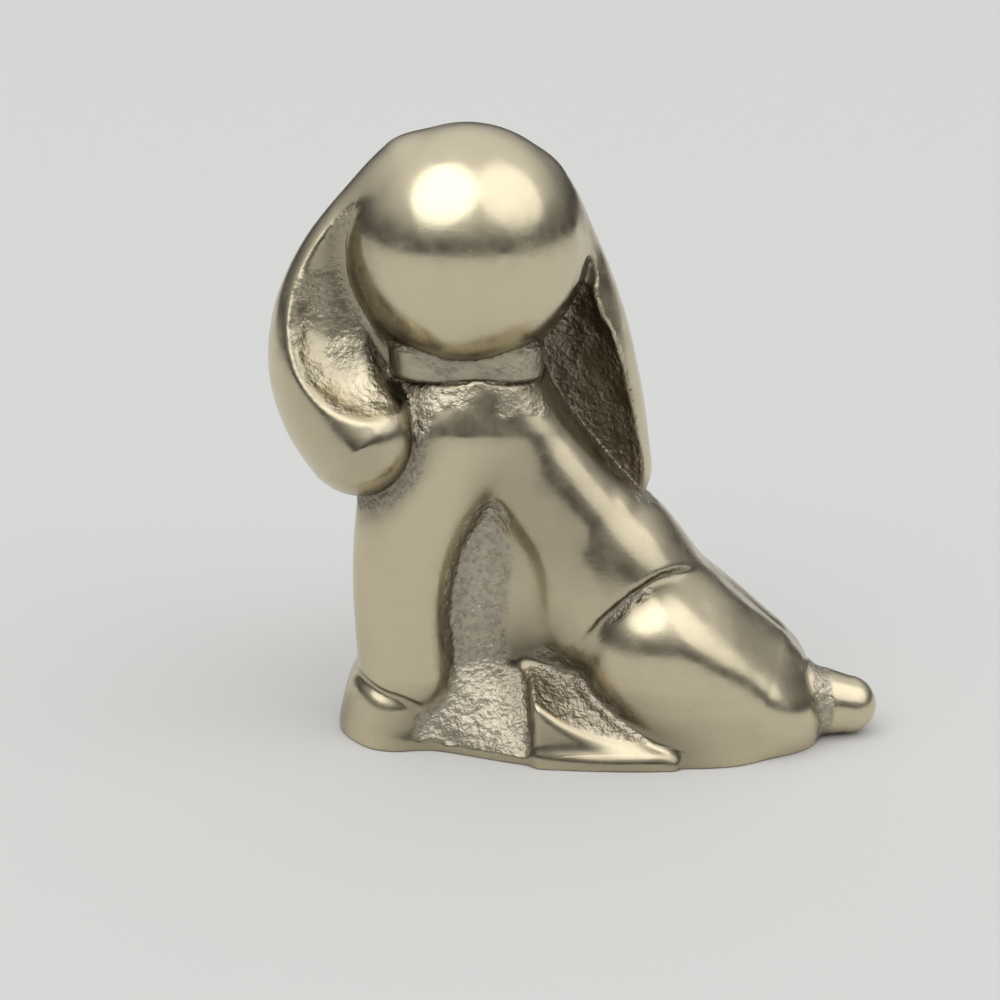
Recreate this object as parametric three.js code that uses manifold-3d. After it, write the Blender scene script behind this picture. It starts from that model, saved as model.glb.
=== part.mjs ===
// Brass dog figurine: a sitting puppy with long hanging ears that looks back over its shoulder.
// Millimetres, +Z up. The chest points along -X, the tail along +X, and the face along +Y.
// The swelling forms are blended solids, given as functions that are negative inside and zero on
// the surface, and meshed from them. The ground and the hind paws are lofts, the collar is an
// extrusion, and nose and eyes are beads. Booleans hollow the ears, cut the base flat and seat
// each casting on its neighbours, and spigots in blind sockets join the castings.
import * as THREE from 'three';
import { mergeVertices } from 'three/addons/utils/BufferGeometryUtils.js';
import { edgeTable, triTable } from 'three/addons/objects/MarchingCubes.js';
import Module from 'manifold-3d';

// Joints between castings
const JOINT_GAP = 0.3;
const NECK_SPIGOT_RADIUS = 6.0;
const NECK_SPIGOT_LENGTH = 11.0;
const EAR_SPIGOT_RADIUS = 1.6;
const EAR_SPIGOT_LENGTH = 5.0;
const EAR_SPIGOT_DEPTH = 3.0;
const LEG_SPIGOT_RADIUS = 2.2;
const LEG_SPIGOT_LENGTH = 2.6;
const LEG_SPIGOT_X = 15.5;
const LEG_SPIGOT_Z = 9.0;
const TAIL_SPIGOT_RADIUS = 1.6;
const TAIL_SPIGOT_LENGTH = 5.0;

// Neck and collar: the neck stands on this axis, and the collar is a flat band round it
const NECK_X = -12.1;
const NECK_FOOT = { x: NECK_X, z: 38.5, radius: 9.4 };
const NECK_MIDDLE = { x: NECK_X, z: 44.25, radius: 8.3 };
const NECK_TOP = { x: NECK_X, z: 50.0, radius: 7.2 };
const COLLAR_SEAT_Z = 44.6;
const COLLAR_HEIGHT = 4.2;
const COLLAR_HALF_LENGTH = 8.9;
const COLLAR_HALF_BREADTH = 8.4;
const COLLAR_SQUARENESS = 5;
const COLLAR_EDGE = 0.5;

// Head: a round skull that overhangs the collar behind. Its face looks away from the camera's
// side, and places on it are given sideways, forwards and upwards from the skull's centre.
const SKULL_BACK = 1.2;
const SKULL_Z = 59.0;
const SKULL_RADIUS = 13.5;
const SKULL_HALF_HEIGHT = 14.0;
const HEAD_TURN = 15;
const MUZZLE = { forwards: 13.4, upwards: -4.6, halfWidth: 6.4, halfLength: 6.4, halfHeight: 5.2 };
const MUZZLE_FILLET = 5;
const JOWL = { sideways: 2.6, forwards: 16.6, upwards: -6.4, radius: 3.6 };
const CHIN = { forwards: 15.6, upwards: -9.4, radius: 3.0 };
const JOWL_FILLET = 1.5;
const NOSE = { forwards: 19.2, upwards: -2.6, halfWidth: 2.4, halfLength: 1.8, halfHeight: 1.8 };
const EYE = { sideways: 4.8, forwards: 11.6, upwards: 2.4, radius: 1.9 };

// Ears: each hangs from the side of the skull along a bent spine and is hollowed from behind.
// Places are given out to the side and up from the skull's centre, and back towards -Y.
const EAR_BREADTH = 1.3;
const LEFT_EAR = [
  { out: 6.4, back: 0.5, up: 8.7, radius: 3.9 },
  { out: 16.4, back: 1.5, up: -7.8, radius: 5.9 },
  { out: 12.0, back: 3.5, up: -21.0, radius: 7.5 },
];
const LEFT_HOLLOW = { out: 10.3, back: 11.0, up: -4.7, halfLength: 11.6, halfWidth: 6.6, halfHeight: 13.2 };
const LEFT_HOLLOW_TIP = 12;
const LEFT_WEB = { out: 8.4, back: 0.5, up: -13.0, halfLength: 5.5, halfWidth: 4.8, halfHeight: 11.0 };
const LEFT_WEB_FILLET = 1;
const RIGHT_EAR = [
  { out: 7.8, back: -0.5, up: 6.4, radius: 3.2 },
  { out: 12.5, back: -3.5, up: -7.9, radius: 5.5 },
  { out: 15.9, back: -3.5, up: -27.0, radius: 6.1 },
];
const RIGHT_HOLLOW = [
  { out: 11.7, back: 3.0, up: -2.6, radius: 3.4 },
  { out: 8.9, back: 6.2, up: -12.5, radius: 9.8 },
  { out: 12.7, back: 6.5, up: -26.0, radius: 9.6 },
];

// Torso: a bent limb from the neck to the rump, broader than it is deep, over a hanging belly,
// with a web of metal under it between the legs
const TORSO_BREADTH = 1.4;
const TORSO = [
  { x: -9.5, z: 41.5, radius: 6.2 },
  { x: 5.2, z: 21.2, radius: 7.7 },
  { x: 21.3, z: 6.8, radius: 7.2 },
];
const NECK_FILLET = 4;
const BELLY = { x: 4.0, z: 17.5, halfLength: 10.5, halfWidth: 10.8, halfHeight: 12.5 };
const BELLY_FILLET = 3;
const WEB = { x: -5.0, z: 14.0, halfLength: 11.0, halfWidth: 6.0, halfHeight: 16.0 };
const WEB_ROUNDING = 1;
const WEB_FILLET = 3.5;

// Forelegs, given for the +Y side: columns that part from the chest low down, on rounded paws
const FORELEG = [
  { x: -15.8, side: 1.0, z: 36.0, radius: 8.0 },
  { x: -19.2, side: 3.4, z: 22.0, radius: 6.3 },
  { x: -19.2, side: 3.6, z: 7.0, radius: 6.0 },
];
const FORELEG_FILLET = { low: 0.7, high: 2.7, lowZ: 26, highZ: 34 };
const FORE_PAW = { x: -22.6, side: 4.6, z: 0.0, halfLength: 5.8, halfWidth: 4.8, halfHeight: 8.3 };
const FORE_PAW_ROUNDING = 4.4;
const FORE_PAW_SLOPE = 23.7;
const FORE_PAW_FRONT = 26.8;
const FORE_PAW_EDGE = 2.5;

// Hind legs, given for the +Y side: a round haunch and a shank under it, trimmed to the line of
// the back, over a long paw whose outer side is flat
const HAUNCH = [
  { x: 11.3, side: 7.0, z: 12.2, radius: 9.4 },
  { x: 16.8, side: 6.3, z: 9.0, radius: 8.7 },
  { x: 22.3, side: 5.6, z: 5.8, radius: 8.0 },
];
const SHANK = [
  { x: 11.6, side: 7.0, z: 11.0, radius: 9.2 },
  { x: 14.4, side: 7.0, z: 5.5, radius: 8.7 },
  { x: 17.2, side: 7.0, z: 0.0, radius: 8.2 },
];
const THIGH_BREADTH = 0.79;
const THIGH_FILLET = 2;
const BACK_SLOPE = 45.4;
const BACK_SIDE_FALL = 0.38;
const BACK_LINE = 27.0;
const BACK_EDGE = 4.5;
const RUMP_FILLET = 0.8;
const HIND_PAW_TOE_X = -4.4;
const HIND_PAW_LENGTH = 16.4;
const HIND_PAW_SIDE = 13.9;
const HIND_PAW_SPLAY = 0.08;
const HIND_PAW_LEAN = 0.18;
const HIND_PAW_TOE_HEIGHT = 7.7;
const HIND_PAW_TOE_ROUNDING = 3;
const HIND_PAW_FALL = 8.0;
const HIND_LEG_INNER_SIDE = 5.0;

// Ground: a bank under the belly that slopes out to the edge of the base. The edge is thin in
// front, and rises under the haunches.
const BASE_FRONT_X = -28.3;
const BASE_FRONT_HALF_WIDTH = 9.4;
const BASE_REAR_X = 31.3;
const BASE_OVAL_HALF_LENGTH = 24.8;
const BASE_HALF_WIDTH = 15.3;
const BASE_WAIST_BLEND = 4;
const BASE_EDGE_HEIGHT = 1.3;
const BASE_REAR_EDGE_HEIGHT = 6.5;
const BASE_RISE_START_X = 8;
const BASE_RISE_END_X = 15;
const BANK_HEIGHT = 9.5;
const BANK_TOP_SIDE = 6.5;
const BANK_TOP_SHARE = 0.6;
const BANK_END_RUN = 5;

// Tail: a bent stub, held in the rump
const TAIL_SIDE = 3.0;
const TAIL = [
  { x: 28.5, z: 4.2, radius: 4.4 },
  { x: 33.4, z: 3.7, radius: 3.9 },
  { x: 36.0, z: 2.8, radius: 1.6 },
];

// Worked out from the sizes above
const COLLAR_TOP_Z = COLLAR_SEAT_Z + COLLAR_HEIGHT;

// How finely each casting is meshed, and the space that they are meshed in
const BODY_CELL = 2.3;
const HEAD_CELL = 1.95;
const EAR_CELL = 1.85;
const LEG_CELL = 2.1;
const TAIL_CELL = 1.6;
const RELAX_PASSES = 3;
const RELAX_SHARE = 0.6;
const SETTLE_STEPS = 2;
const SETTLE_REACH = 0.4;
const SPACE_LOW = [-42, -24, -6];
const SPACE_HIGH = [44, 28, 78];
const CLOSING_Z = -1.6;

const { abs, cos, exp, hypot, max, min, PI, sign, sin, sqrt } = Math;
const { clamp, degToRad, lerp, smoothstep } = THREE.MathUtils;

// Fields and how they combine

const softMin = (a, b, k) => min(a, b) - max(k - abs(a - b), 0) ** 2 / (4 * k);
const softMax = (a, b, k) => -softMin(-a, -b, k);

/** All the fields as one solid, with fillets of about the size k where they meet. */
const joined = (k, ...fields) => (p) => fields.reduce((d, field) => softMin(d, field(p), k), 1e3);

/** What two fields share, with its edge rounded by k. */
const shared = (k, a, b) => (p) => softMax(a(p), b(p), k);

const grown = (field, by) => (p) => field(p) - by;
const mirrored = (field) => (p) => field({ x: p.x, y: -p.y, z: p.z });

/** A field in a frame at `centre`, turned about Z and then tipped about X, in degrees. */
function placed(field, centre, turn = 0, tip = 0) {
  const [ct, st] = [cos(degToRad(turn)), sin(degToRad(turn))];
  const [cp, sp] = [cos(degToRad(tip)), sin(degToRad(tip))];
  return (p) => {
    const [dx, dy, dz] = [p.x - centre.x, p.y - centre.y, p.z - centre.z];
    const across = ct * dy - st * dx;
    return field({ x: ct * dx + st * dy, y: cp * across - sp * dz, z: sp * across + cp * dz });
  };
}

/** An egg shape with the given half axes, about the origin. */
const egg = ({ halfLength: rx, halfWidth: ry, halfHeight: rz }) => (p) => {
  const scaled = hypot(p.x / rx, p.y / ry, p.z / rz);
  const slope = hypot(p.x / rx ** 2, p.y / ry ** 2, p.z / rz ** 2);
  return (scaled * (scaled - 1)) / max(slope, 1e-6);
};

/** A block with rounded edges, about the origin. */
const block = ({ halfLength, halfWidth, halfHeight }, rounding) => (p) => {
  const [qx, qy] = [abs(p.x) - halfLength + rounding, abs(p.y) - halfWidth + rounding];
  const qz = abs(p.z) - halfHeight + rounding;
  return hypot(max(qx, 0), max(qy, 0), max(qz, 0)) + min(max(qx, qy, qz), 0) - rounding;
};

/**
 * A limb along a smooth bend through three stations, each { x, y, z, radius }. It is `breadth`
 * times as thick across Y as it is in the plane of the bend.
 */
function limb([start, middle, end], breadth = 1) {
  const keys = ['x', 'y', 'z', 'radius'];
  const handle = Object.fromEntries(keys.map((k) => [k, 2 * middle[k] - (start[k] + end[k]) / 2]));
  const at = (k, t) => (1 - t) ** 2 * start[k] + 2 * t * (1 - t) * handle[k] + t * t * end[k];
  const turning = { x: start.x - 2 * handle.x + end.x, z: start.z - 2 * handle.z + end.z };
  const tries = [0.1, 0.5, 0.9];
  return (p) => {
    let nearest = 1e3;
    for (let t of tries) {
      for (let i = 0; i < 5; i++) {
        const [ox, oz] = [at('x', t) - p.x, at('z', t) - p.z];
        const vx = 2 * (1 - t) * (handle.x - start.x) + 2 * t * (end.x - handle.x);
        const vz = 2 * (1 - t) * (handle.z - start.z) + 2 * t * (end.z - handle.z);
        const bend = vx * vx + vz * vz + 2 * max(ox * turning.x + oz * turning.z, 0);
        t = clamp(t - (ox * vx + oz * vz) / bend, 0, 1);
      }
      const [ox, oy, oz] = [p.x - at('x', t), (p.y - at('y', t)) / breadth, p.z - at('z', t)];
      nearest = min(nearest, hypot(ox, oy, oz) - at('radius', t));
    }
    return nearest;
  };
}

// The forms of the figure

const skullCentre = new THREE.Vector3(NECK_X, -SKULL_BACK, SKULL_Z);

/** A place on the turned head. */
const onHead = ({ sideways = 0, forwards, upwards }) => new THREE.Vector3(sideways, forwards, upwards)
  .applyAxisAngle(new THREE.Vector3(0, 0, 1), degToRad(HEAD_TURN)).add(skullCentre);

const ball = ({ radius }) => egg({ halfLength: radius, halfWidth: radius, halfHeight: radius });
const skull = placed(
  egg({ halfLength: SKULL_RADIUS, halfWidth: SKULL_RADIUS, halfHeight: SKULL_HALF_HEIGHT }), skullCentre);
const muzzle = placed(
  egg({ halfLength: MUZZLE.halfWidth, halfWidth: MUZZLE.halfLength, halfHeight: MUZZLE.halfHeight }),
  onHead(MUZZLE), HEAD_TURN);
const jowls = [-1, 1].map((side) => placed(ball(JOWL), onHead({ ...JOWL, sideways: side * JOWL.sideways })));
const headForm = joined(JOWL_FILLET,
  joined(MUZZLE_FILLET, skull, muzzle), ...jowls, placed(ball(CHIN), onHead(CHIN)));

/** A place on an ear: side is -1 for the left ear and 1 for the right one. */
const onEar = (side, s) => ({
  x: NECK_X + side * s.out, y: -s.back, z: SKULL_Z + s.up, radius: s.radius,
});

const earLimb = (side, stations, breadth) => limb(stations.map((s) => onEar(side, s)), breadth);
const leftFlap = joined(LEFT_WEB_FILLET,
  earLimb(-1, LEFT_EAR, EAR_BREADTH), placed(egg(LEFT_WEB), onEar(-1, LEFT_WEB)));
const leftHollow = placed(egg(LEFT_HOLLOW), onEar(-1, LEFT_HOLLOW), 0, LEFT_HOLLOW_TIP);
const rightFlap = earLimb(1, RIGHT_EAR, EAR_BREADTH);
const rightHollow = earLimb(1, RIGHT_HOLLOW);

/** Stations given for the +Y side, or on the middle plane, as stations on one side. */
const onSide = (side, stations) => stations.map((s) => ({ ...s, y: side * (s.side ?? 0) }));

const middleLimb = (stations, breadth) => limb(onSide(1, stations), breadth);
const torso = joined(NECK_FILLET,
  middleLimb(TORSO, TORSO_BREADTH), middleLimb([NECK_FOOT, NECK_MIDDLE, NECK_TOP]));
const belly = placed(egg(BELLY), { x: BELLY.x, y: 0, z: BELLY.z });
const web = placed(block(WEB, WEB_ROUNDING), { x: WEB.x, y: 0, z: WEB.z });
const trunk = joined(WEB_FILLET, joined(BELLY_FILLET, torso, belly), web);

/** A paw is a rounded block whose front slopes back. */
function forePaw(side) {
  const rounded = placed(block(FORE_PAW, FORE_PAW_ROUNDING), { x: FORE_PAW.x, y: side * FORE_PAW.side, z: FORE_PAW.z });
  const slope = degToRad(FORE_PAW_SLOPE);
  return shared(FORE_PAW_EDGE, rounded, (p) => sin(slope) * p.z - cos(slope) * p.x - FORE_PAW_FRONT);
}

const forelegs = joined(1, limb(onSide(-1, FORELEG)), limb(onSide(1, FORELEG)));
const shoulderFillet = (z) => lerp(FORELEG_FILLET.low, FORELEG_FILLET.high,
  smoothstep(z, FORELEG_FILLET.lowZ, FORELEG_FILLET.highZ));
const chest = joined(FORELEG_FILLET.low,
  (p) => softMin(trunk(p), forelegs(p), shoulderFillet(p.z)), forePaw(-1), forePaw(1));

const backSlope = degToRad(BACK_SLOPE);
const haunch = shared(BACK_EDGE,
  joined(THIGH_FILLET, limb(onSide(1, HAUNCH), THIGH_BREADTH), limb(onSide(1, SHANK), THIGH_BREADTH)),
  (p) => cos(backSlope) * p.x + sin(backSlope) * p.z + BACK_SIDE_FALL * abs(p.y) - BACK_LINE);
const haunches = joined(RUMP_FILLET, haunch, mirrored(haunch));

// Meshing

const CORNERS = [[0, 0, 0], [1, 0, 0], [1, 1, 0], [0, 1, 0], [0, 0, 1], [1, 0, 1], [1, 1, 1], [0, 1, 1]];
const EDGES = [[0, 1], [1, 2], [3, 2], [0, 3], [4, 5], [5, 6], [7, 6], [4, 7], [0, 4], [1, 5], [2, 6], [3, 7]];

const TABLE_ROW = 16;

/** The slope of a field at a point, and its value there. */
function slopeAt(field, p) {
  const e = 0.02;
  const value = field(p);
  const slope = new THREE.Vector3(
    field({ x: p.x + e, y: p.y, z: p.z }) - value,
    field({ x: p.x, y: p.y + e, z: p.z }) - value,
    field({ x: p.x, y: p.y, z: p.z + e }) - value).divideScalar(e);
  return { value, slope };
}

/** Moves a point along the slope until it lies on the surface. */
function settle(field, p) {
  for (let i = 0; i < SETTLE_STEPS; i++) {
    const { value, slope } = slopeAt(field, p);
    p.addScaledVector(slope, -clamp(value, -SETTLE_REACH, SETTLE_REACH) / max(slope.lengthSq(), 0.2));
  }
}

/** Evens out the triangles: each point moves along the surface towards its neighbours' middle. */
function relax(field, points, faces) {
  const sums = points.map(() => ({ sum: new THREE.Vector3(), count: 0 }));
  for (const face of faces) {
    face.forEach((a, i) => {
      sums[a].sum.add(points[face[(i + 1) % 3]]).add(points[face[(i + 2) % 3]]);
      sums[a].count += 2;
    });
  }
  points.forEach((point, i) => {
    const move = sums[i].sum.divideScalar(sums[i].count).sub(point);
    const normal = slopeAt(field, point).slope.normalize();
    point.addScaledVector(move.addScaledVector(normal, -move.dot(normal)), RELAX_SHARE);
    settle(field, point);
  });
}

/** Marching cubes over the whole figure's space, in cells of one size. */
function meshOf(form, cell) {
  const field = (p) => max(form(p), CLOSING_Z - p.z);
  const [nx, ny, nz] = SPACE_LOW.map((low, axis) => Math.ceil((SPACE_HIGH[axis] - low) / cell) + 1);
  const origin = new THREE.Vector3(...SPACE_LOW);
  const index = (i, j, k) => i + nx * (j + ny * k);
  const place = (i, j, k) => new THREE.Vector3(i, j, k).multiplyScalar(cell).add(origin);
  const values = new Float64Array(nx * ny * nz);
  for (let k = 0; k < nz; k++) {
    for (let j = 0; j < ny; j++) {
      for (let i = 0; i < nx; i++) values[index(i, j, k)] = field(place(i, j, k)) || 1e-9;
    }
  }
  const points = [];
  const faces = [];
  const known = new Map();
  const vertexOn = (i, j, k, edge) => {
    const [a, b] = EDGES[edge].map((corner) => CORNERS[corner]);
    const from = [i + a[0], j + a[1], k + a[2]];
    const to = [i + b[0], j + b[1], k + b[2]];
    const key = `${index(...from)} ${index(...to)}`;
    if (!known.has(key)) {
      const [va, vb] = [values[index(...from)], values[index(...to)]];
      const share = clamp(va / (va - vb), 0.02, 0.98);
      known.set(key, points.push(place(...from).lerp(place(...to), share)) - 1);
    }
    return known.get(key);
  };
  for (let k = 0; k < nz - 1; k++) {
    for (let j = 0; j < ny - 1; j++) {
      for (let i = 0; i < nx - 1; i++) {
        let kind = 0;
        CORNERS.forEach(([a, b, c], bit) => {
          if (values[index(i + a, j + b, k + c)] < 0) kind |= 1 << bit;
        });
        if (!edgeTable[kind]) continue;
        for (let t = kind * TABLE_ROW; triTable[t] !== -1; t += 3) {
          faces.push([0, 1, 2].map((c) => vertexOn(i, j, k, triTable[t + c])));
        }
      }
    }
  }
  for (let pass = 0; pass < RELAX_PASSES; pass++) relax(field, points, faces);
  return { points, faces };
}

// Solids

const wasm = await Module();
wasm.setup();

function solidFrom(vertProperties, triVerts) {
  const made = new wasm.Manifold(new wasm.Mesh({ numProp: 3, vertProperties, triVerts }));
  if (made.volume() > 0) return made;
  const turned = triVerts.slice();
  for (let i = 0; i < turned.length; i += 3) [turned[i + 1], turned[i + 2]] = [turned[i + 2], turned[i + 1]];
  return new wasm.Manifold(new wasm.Mesh({ numProp: 3, vertProperties, triVerts: turned }));
}

function cast(field, cell) {
  const { points, faces } = meshOf(field, cell);
  return solidFrom(new Float32Array(points.flatMap((p) => p.toArray())), new Uint32Array(faces.flat()));
}

function solidOfGeometry(geometry) {
  const bare = geometry.clone();
  bare.deleteAttribute('normal');
  bare.deleteAttribute('uv');
  const merged = mergeVertices(bare, 1e-4);
  return solidFrom(new Float32Array(merged.attributes.position.array), new Uint32Array(merged.index.array));
}

/** A closed skin over rings of equally many points, with a fan over the first and last ring. */
function loft(rings) {
  const count = rings[0].length;
  const middleOf = (ring) => ring.reduce((sum, p) => sum.add(p), new THREE.Vector3()).divideScalar(count);
  const points = [...rings.flat(), middleOf(rings[0]), middleOf(rings.at(-1))];
  const faces = [];
  for (let i = 0; i < count; i++) {
    const next = (i + 1) % count;
    for (let r = 0; r + 1 < rings.length; r++) {
      const [a, b] = [r * count, (r + 1) * count];
      faces.push([a + i, a + next, b + next], [a + i, b + next, b + i]);
    }
    faces.push([next, i, points.length - 2]);
    const last = count * (rings.length - 1);
    faces.push([last + i, last + next, points.length - 1]);
  }
  return solidFrom(new Float32Array(points.flatMap((p) => p.toArray())), new Uint32Array(faces.flat()));
}

/** A bead on the head, with the given half axes. */
function bead(place, radii) {
  const geometry = new THREE.SphereGeometry(1, 16, 12).scale(...radii).rotateZ(degToRad(HEAD_TURN));
  return solidOfGeometry(geometry.translate(...onHead(place).toArray()));
}

/** A round pin from one point to another. */
function pin(from, to, radius) {
  const a = new THREE.Vector3(from.x, from.y, from.z);
  const b = new THREE.Vector3(to.x, to.y, to.z);
  const along = b.clone().sub(a);
  const geometry = new THREE.CylinderGeometry(radius, radius, along.length(), 24);
  geometry.applyQuaternion(new THREE.Quaternion().setFromUnitVectors(
    new THREE.Vector3(0, 1, 0), along.clone().normalize()));
  geometry.translate(...a.add(b).multiplyScalar(0.5).toArray());
  return solidOfGeometry(geometry);
}

/** The casting itself, where a cut has left a chip beside it. */
function main(solid) {
  return solid.decompose().reduce((best, piece) => (piece.volume() > best.volume() ? piece : best));
}

const FAR = 100;
const FOOTING = 2;
const floor = solidOfGeometry(new THREE.BoxGeometry(2 * FAR, 2 * FAR, FAR).translate(0, 0, -FAR / 2));

/** Everything on one side of the middle beyond `from`, in front of the rump and above the floor. */
function beyond(side, from, frontX) {
  const box = new THREE.BoxGeometry(FAR, FAR, FAR);
  return solidOfGeometry(box.translate(frontX + FAR / 2, side * (from + FAR / 2), 0));
}

// Collar: an extruded band with bevelled edges and a bore for the neck's spigot

function collarOutline(extra) {
  const count = 48;
  const points = [];
  for (let i = 0; i < count; i++) {
    const a = (2 * PI * i) / count;
    const round = (c) => sign(c) * abs(c) ** (2 / COLLAR_SQUARENESS);
    points.push(new THREE.Vector2(
      (COLLAR_HALF_LENGTH + extra) * round(cos(a)), (COLLAR_HALF_BREADTH + extra) * round(sin(a))));
  }
  return new THREE.Shape(points);
}

function collarPiece() {
  const outline = collarOutline(-COLLAR_EDGE);
  const bore = NECK_SPIGOT_RADIUS + JOINT_GAP + COLLAR_EDGE;
  outline.holes.push(new THREE.Path().absarc(0, 0, bore, 0, 2 * PI, true));
  const band = new THREE.ExtrudeGeometry(outline, {
    depth: COLLAR_HEIGHT - 2 * COLLAR_EDGE,
    bevelThickness: COLLAR_EDGE,
    bevelSize: COLLAR_EDGE,
    bevelSegments: 1,
    curveSegments: 24,
  });
  return solidOfGeometry(band.translate(NECK_X, 0, COLLAR_SEAT_Z + COLLAR_EDGE));
}

/** The room that the collar takes between two heights, grown by the joint gap. */
function collarRoom(bottom, top) {
  const room = new THREE.ExtrudeGeometry(
    collarOutline(JOINT_GAP), { depth: top - bottom, bevelEnabled: false });
  return solidOfGeometry(room.translate(NECK_X, 0, bottom));
}

// Ground under the figure

/** Half the width of the base at x: a rounded front under the paws, an oval under the haunches. */
function baseHalfWidth(x) {
  const fromFront = clamp((x - BASE_FRONT_X) / BASE_FRONT_HALF_WIDTH, 0, 1);
  const front = x > 0 ? 0 : BASE_FRONT_HALF_WIDTH * sqrt(1 - (1 - fromFront) ** 2);
  const alongOval = (x - BASE_REAR_X + BASE_OVAL_HALF_LENGTH) / BASE_OVAL_HALF_LENGTH;
  const oval = BASE_HALF_WIDTH * sqrt(max(1 - alongOval ** 2, 0));
  return softMax(front, oval, BASE_WAIST_BLEND);
}

const baseEdgeHeight = (x) => lerp(BASE_EDGE_HEIGHT, BASE_REAR_EDGE_HEIGHT,
  smoothstep(x, BASE_RISE_START_X, BASE_RISE_END_X));

/** A ring round the base between two ends, with its half width and height given at each x. */
function baseRing(startX, endX, widthAt, heightAt) {
  const stations = 18;
  const ring = [];
  for (let i = -stations; i < stations; i++) {
    const share = (1 - cos((PI * abs(i)) / stations)) / 2;
    const x = lerp(startX, endX, share);
    const side = share === 0 || share === 1 ? 0 : -sign(i);
    ring.push(new THREE.Vector3(x, side * widthAt(x), heightAt(x)));
  }
  return ring;
}

function ground(extra) {
  const outer = (heightAt) => baseRing(BASE_FRONT_X - extra, BASE_REAR_X + extra,
    (x) => baseHalfWidth(x) + extra, heightAt);
  const top = baseRing(BASE_FRONT_X + BANK_END_RUN, BASE_REAR_X - BANK_END_RUN,
    (x) => min(BANK_TOP_SIDE, BANK_TOP_SHARE * baseHalfWidth(x)) + extra, () => BANK_HEIGHT + extra);
  return loft([outer(() => -FOOTING), outer((x) => baseEdgeHeight(x) + extra), top]);
}

/** The top of a hind paw falls from its toes to its heel, and rises inwards to meet the bank. */
function hindPaw(side, extra) {
  const stations = 12;
  const startsAt = 0.4;
  const inner = HIND_LEG_INNER_SIDE + 1;
  const rings = [];
  for (let i = 0; i <= stations; i++) {
    const fromToe = lerp(startsAt, HIND_PAW_LENGTH, (i / stations) ** 1.5);
    const ridge = HIND_PAW_TOE_HEIGHT * exp(-fromToe / HIND_PAW_FALL);
    const foot = HIND_PAW_SIDE + HIND_PAW_SPLAY * fromToe;
    const shoulder = foot - HIND_PAW_LEAN * ridge;
    const rise = (BANK_HEIGHT - ridge) / (shoulder - BANK_TOP_SIDE);
    const topAt = (y) => ridge + rise * (shoulder - y) + extra;
    const drawnIn = max(sqrt(HIND_PAW_TOE_ROUNDING) - sqrt(fromToe), 0) ** 2 - extra;
    const x = HIND_PAW_TOE_X + fromToe - (i === 0 ? extra : 0);
    rings.push([
      [inner, -FOOTING],
      [foot + HIND_PAW_LEAN * FOOTING - drawnIn, -FOOTING],
      [shoulder - drawnIn, topAt(shoulder - drawnIn)],
      [inner, topAt(inner)],
    ].map(([y, z]) => new THREE.Vector3(x, side * y, z)));
  }
  return loft(rings);
}

// Castings

const headRoom = cast(grown(headForm, JOINT_GAP), HEAD_CELL).add(cast(headForm, HEAD_CELL));
const eyeBeads = [-1, 1].map((side) =>
  bead({ ...EYE, sideways: side * EYE.sideways }, [EYE.radius, EYE.radius, EYE.radius]));
const headBlank = cast(headForm, HEAD_CELL).add(eyeBeads[0]).add(eyeBeads[1])
  .add(bead(NOSE, [NOSE.halfWidth, NOSE.halfLength, NOSE.halfHeight]));

const bodyBlank = cast(chest, BODY_CELL).add(cast(haunches, LEG_CELL)).add(ground(0)).subtract(floor);
const chestRoom = cast(grown(chest, JOINT_GAP), BODY_CELL).add(bodyBlank);
const collar = collarPiece();

function hindLeg(side) {
  const form = side > 0 ? haunch : mirrored(haunch);
  const spigotAt = (y) => ({ x: LEG_SPIGOT_X, y: side * y, z: LEG_SPIGOT_Z });
  const root = spigotAt(HIND_LEG_INNER_SIDE + LEG_SPIGOT_RADIUS);
  const end = spigotAt(HIND_LEG_INNER_SIDE - LEG_SPIGOT_LENGTH);
  const socketEnd = spigotAt(HIND_LEG_INNER_SIDE - LEG_SPIGOT_LENGTH - JOINT_GAP);
  const outside = beyond(side, HIND_LEG_INNER_SIDE, HIND_PAW_TOE_X);
  const roomOutside = beyond(side, HIND_LEG_INNER_SIDE - JOINT_GAP, HIND_PAW_TOE_X - JOINT_GAP);
  const blank = cast(form, LEG_CELL).add(hindPaw(side, 0)).add(ground(0));
  const piece = main(blank.intersect(outside).subtract(floor)).add(pin(root, end, LEG_SPIGOT_RADIUS));
  const room = cast(grown(form, JOINT_GAP), LEG_CELL)
    .add(hindPaw(side, JOINT_GAP)).add(ground(JOINT_GAP));
  const socket = pin(root, socketEnd, LEG_SPIGOT_RADIUS + JOINT_GAP);
  return { piece, room: room.intersect(roomOutside).add(socket).add(piece) };
}

const leftLeg = hindLeg(-1);
const rightLeg = hindLeg(1);

const neckAxis = (z) => ({ x: NECK_X, y: 0, z });
const spigotTop = COLLAR_SEAT_Z + NECK_SPIGOT_LENGTH;
const neckSpigot = pin(neckAxis(COLLAR_SEAT_Z - 2), neckAxis(spigotTop), NECK_SPIGOT_RADIUS);
const neckSocket = pin(neckAxis(COLLAR_SEAT_Z - 2), neckAxis(spigotTop + JOINT_GAP),
  NECK_SPIGOT_RADIUS + JOINT_GAP);
const aboveNeck = collarRoom(COLLAR_SEAT_Z - JOINT_GAP, SKULL_Z + SKULL_RADIUS);
const collarBand = collarRoom(COLLAR_SEAT_Z - JOINT_GAP, COLLAR_TOP_Z + JOINT_GAP);

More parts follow.
